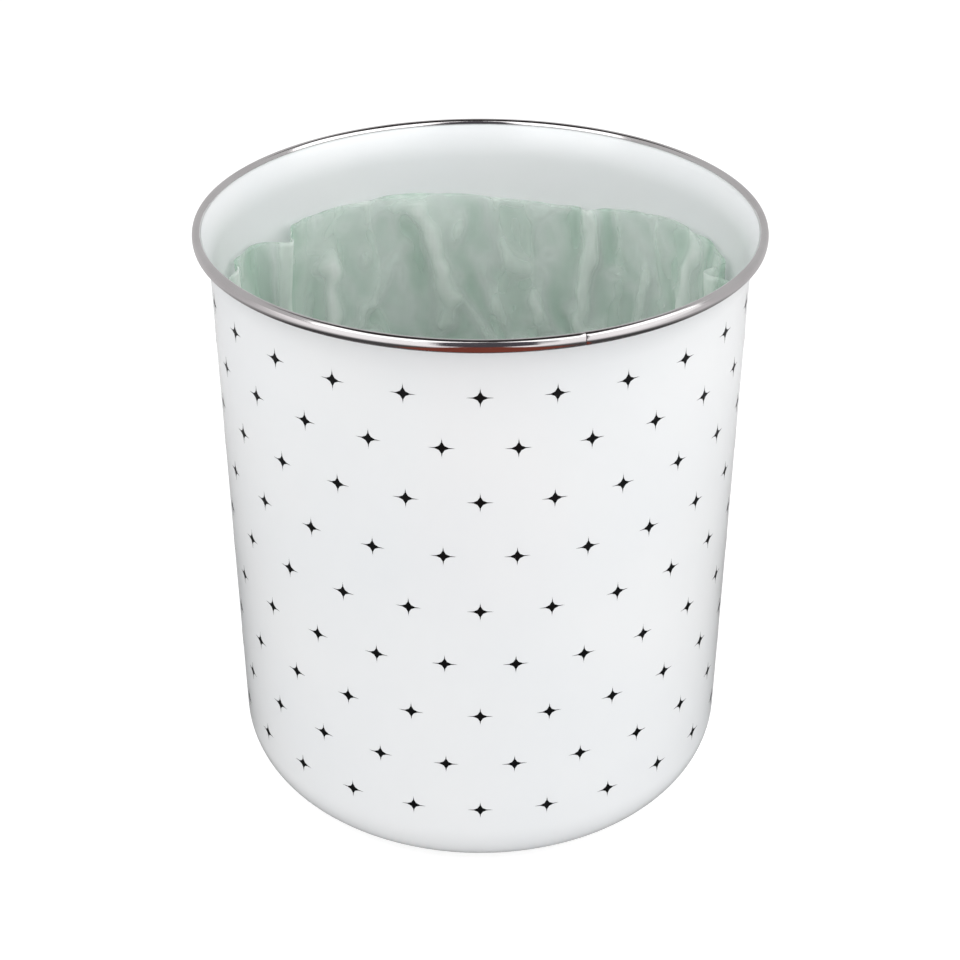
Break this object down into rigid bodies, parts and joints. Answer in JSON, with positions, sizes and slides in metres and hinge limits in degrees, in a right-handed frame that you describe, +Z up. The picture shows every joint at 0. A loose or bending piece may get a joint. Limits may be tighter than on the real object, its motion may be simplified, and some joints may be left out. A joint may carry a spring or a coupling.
{
  "type": "open enamelled compost caddy with liner bag",
  "caption": "Open round enamelled steel kitchen caddy with a rolled stainless rim and a loose compostable liner bag that lifts out.",
  "frame": {"origin": "centre of the ring that the body stands on", "axes": "+Z up along the canister's axis; -Y is the side that faces the picture's view"},
  "size_m": [0.2112, 0.2112, 0.233],
  "materials": {
    "enamel": "glossy fired enamel, white, with a print of small black four-pointed sparkles outside",
    "stainless": "polished stainless steel strip",
    "liner_film": "thin translucent pale green compostable film, crinkled"
  },
  "bodies": {
    "caddy": {"enamel_body": "enamel", "rim_band": "stainless"},
    "liner": {"liner_bag": "liner_film"}
  },
  "joints": [
    {"name": "liner_lift", "type": "slide", "parent": "caddy", "child": "liner", "axis": [0, 0, 1], "range_m": [0, 0.24]}
  ]
}
